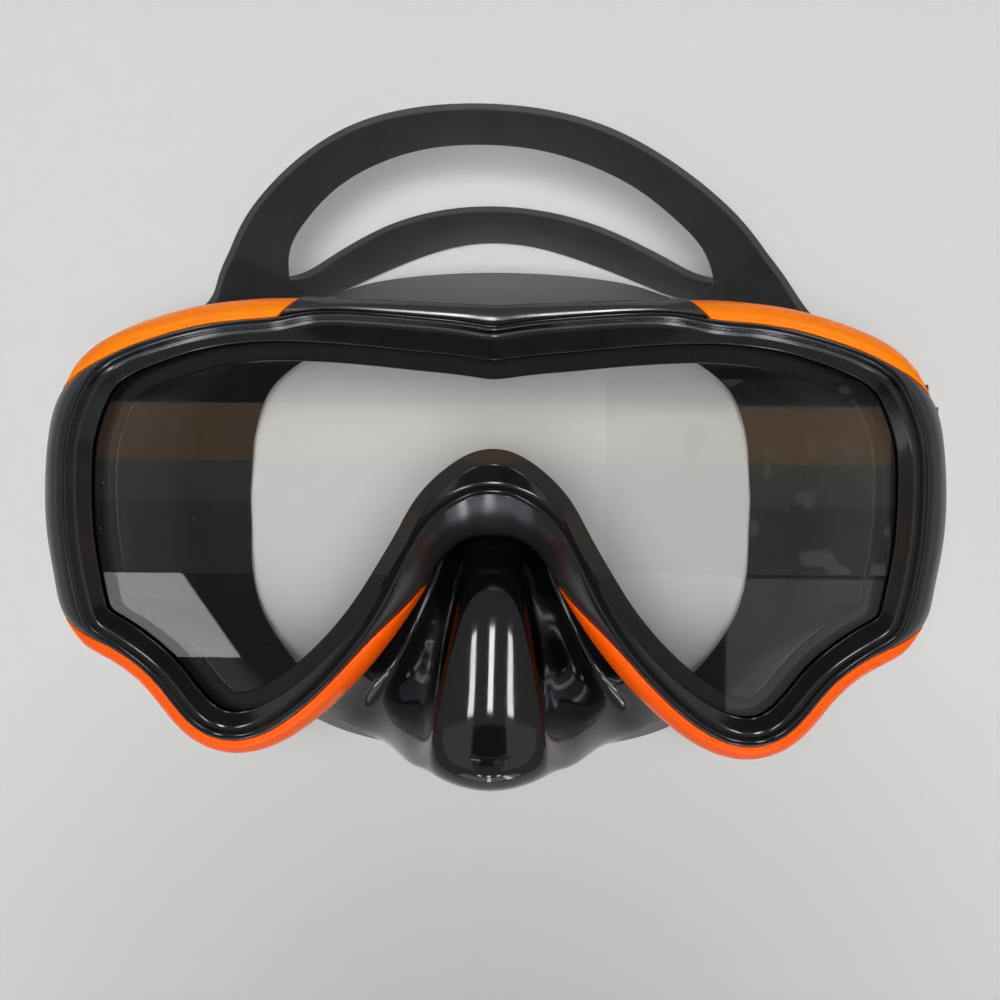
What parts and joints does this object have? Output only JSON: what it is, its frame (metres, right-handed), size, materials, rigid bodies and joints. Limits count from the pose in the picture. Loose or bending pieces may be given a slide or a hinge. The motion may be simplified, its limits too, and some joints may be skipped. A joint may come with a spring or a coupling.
{
  "type": "diving mask",
  "caption": "Single-window diving mask lying on its face seal: black frame with orange edge trims, silicone skirt with nose pocket, and a split strap on swivelling quick-release buckles.",
  "frame": {"origin": "middle of the underside of the whole mask as it lies on its face seal with the strap folded up behind the forehead edge", "axes": "+X to the mask's side, +Y from the nose pocket to the forehead edge, +Z out through the window"},
  "size_m": [0.1768, 0.1337, 0.0715],
  "materials": {
    "glass_clear": "clear tempered glass, polished",
    "silicone_black": "glossy moulded silicone, satin at the face flange",
    "strap_silicone": "matte moulded silicone",
    "frame_black": "glossy polycarbonate",
    "trim_orange": "glossy moulded plastic",
    "buckle_plastic": "satin acetal",
    "steel": "stainless steel"
  },
  "bodies": {
    "mask": {"lens": "glass_clear", "skirt": "silicone_black", "rear_frame": "frame_black", "front_bezel": "frame_black", "brow_cover": "frame_black", "trim_upper_left": "trim_orange", "trim_upper_right": "trim_orange", "trim_lower_left": "trim_orange", "trim_lower_right": "trim_orange", "left_buckle_lug": "buckle_plastic", "left_pivot_pin": "steel", "right_buckle_lug": "buckle_plastic", "right_pivot_pin": "steel"},
    "strap": {"strap": "strap_silicone"},
    "left_buckle": {"left_buckle_body": "buckle_plastic", "left_roller_axle": "steel", "left_lever_pin": "steel", "left_lever_spring": "steel"},
    "left_lever": {"left_release_lever": "buckle_plastic"},
    "left_roller": {"left_roller": "buckle_plastic"},
    "left_keeper": {"left_strap_keeper": "strap_silicone"},
    "right_buckle": {"right_buckle_body": "buckle_plastic", "right_roller_axle": "steel", "right_lever_pin": "steel", "right_lever_spring": "steel"},
    "right_lever": {"right_release_lever": "buckle_plastic"},
    "right_roller": {"right_roller": "buckle_plastic"},
    "right_keeper": {"right_strap_keeper": "strap_silicone"}
  },
  "joints": [
    {"name": "strap_swing", "type": "hinge", "parent": "mask", "child": "strap", "pos_m": [0.07762, -0.02015, 0.025], "axis": [1, 0, 0], "range_deg": [-100, 6]},
    {"name": "left_buckle_swivel", "type": "hinge", "parent": "mask", "child": "left_buckle", "pos_m": [-0.07762, -0.02015, 0.025], "axis": [1, 0, 0], "range_deg": [-100, 6]},
    {"name": "left_lever_lift", "type": "hinge", "parent": "left_buckle", "child": "left_lever", "pos_m": [-0.0832, -0.02135, 0.025], "axis": [0, 0, -1], "range_deg": [0, 10], "stiffness_Nm_per_rad": 0.05},
    {"name": "left_roller_spin", "type": "hinge", "parent": "left_buckle", "child": "left_roller", "pos_m": [-0.08335, -0.01115, 0.025], "axis": [0, 0, 1], "continuous": true},
    {"name": "left_keeper_slide", "type": "slide", "parent": "strap", "child": "left_keeper", "axis": [0, 1, 0], "range_m": [0, 0.002]},
    {"name": "right_buckle_swivel", "type": "hinge", "parent": "mask", "child": "right_buckle", "pos_m": [0.07762, -0.02015, 0.025], "axis": [1, 0, 0], "range_deg": [-100, 6]},
    {"name": "right_lever_lift", "type": "hinge", "parent": "right_buckle", "child": "right_lever", "pos_m": [0.0832, -0.02135, 0.025], "axis": [0, 0, 1], "range_deg": [0, 10], "stiffness_Nm_per_rad": 0.05},
    {"name": "right_roller_spin", "type": "hinge", "parent": "right_buckle", "child": "right_roller", "pos_m": [0.08335, -0.01115, 0.025], "axis": [0, 0, 1], "continuous": true},
    {"name": "right_keeper_slide", "type": "slide", "parent": "strap", "child": "right_keeper", "axis": [0, 1, 0], "range_m": [0, 0.002]}
  ],
  "couplings": [
    {"joint": "left_buckle_swivel", "follows": "strap_swing", "ratio": 1},
    {"joint": "right_buckle_swivel", "follows": "strap_swing", "ratio": 1}
  ]
}
